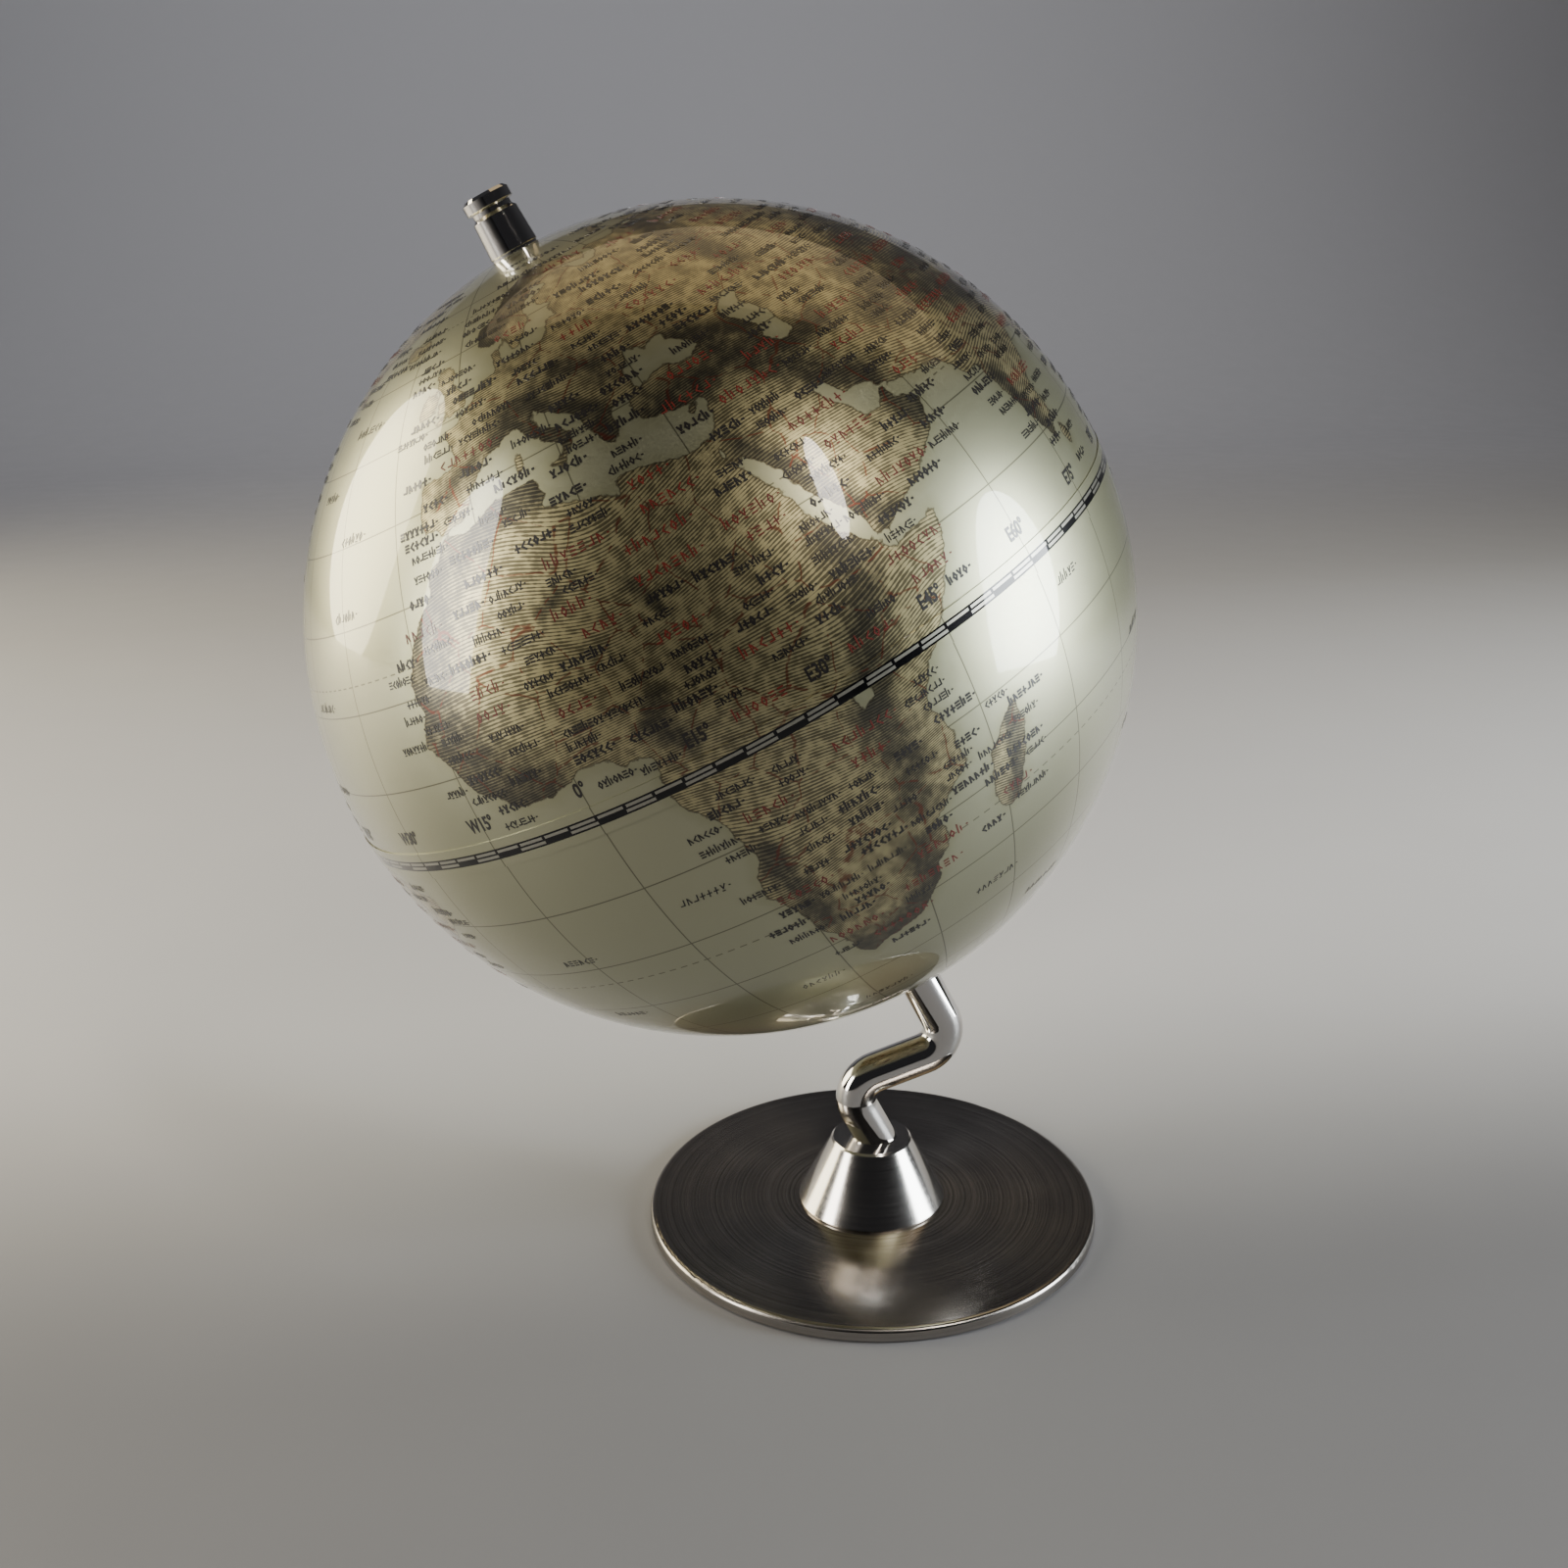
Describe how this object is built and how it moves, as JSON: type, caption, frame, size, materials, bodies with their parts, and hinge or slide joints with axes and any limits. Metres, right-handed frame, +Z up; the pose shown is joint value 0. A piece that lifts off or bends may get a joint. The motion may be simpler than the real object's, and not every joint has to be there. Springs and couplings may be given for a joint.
{
  "type": "desktop globe on stand",
  "caption": "Small desktop globe with a metallic lacquered map, spinning on a tilted chromed rod bent twice, held by a turned cone on a thin round brushed base.",
  "frame": {"origin": "centre of the foot pad's underside, on the surface the globe stands on", "axes": "+Z up; the globe's axis lies in the XZ plane and leans from the vertical towards -X"},
  "size_m": [0.13, 0.1302, 0.1759],
  "materials": {
    "chrome": "mirror polished plating",
    "polished_stainless": "polished turned stainless steel",
    "brushed_stainless": "turned, fine concentric grain",
    "map_print": "champagne metallic print under clear gloss lacquer",
    "tape_print": "printed metallic tape under clear gloss lacquer",
    "shell_plastic": "moulded plastic",
    "nylon": "turned natural nylon",
    "card_tube": "wound card",
    "zinc_steel": "zinc plated",
    "foam": "closed cell foam"
  },
  "bodies": {
    "stand": {"base_pad": "foam", "base_disc": "brushed_stainless", "base_screw": "zinc_steel", "cone_collar": "polished_stainless", "rod_set_screw": "zinc_steel", "support_rod": "chrome", "south_washer": "nylon", "north_washer": "nylon", "disc_springs": "zinc_steel", "finial_knob": "chrome"},
    "globe": {"south_bush": "nylon", "axle_tube": "card_tube", "south_shell": "shell_plastic", "north_shell": "shell_plastic", "joining_ring": "shell_plastic", "south_map": "map_print", "north_map": "map_print", "equator_tape": "tape_print", "north_bush": "nylon"}
  },
  "joints": [
    {"name": "globe_spin", "type": "hinge", "parent": "stand", "child": "globe", "pos_m": [-0.0241, 0, 0.10856], "axis": [-0.454, 0, 0.891], "continuous": true}
  ]
}
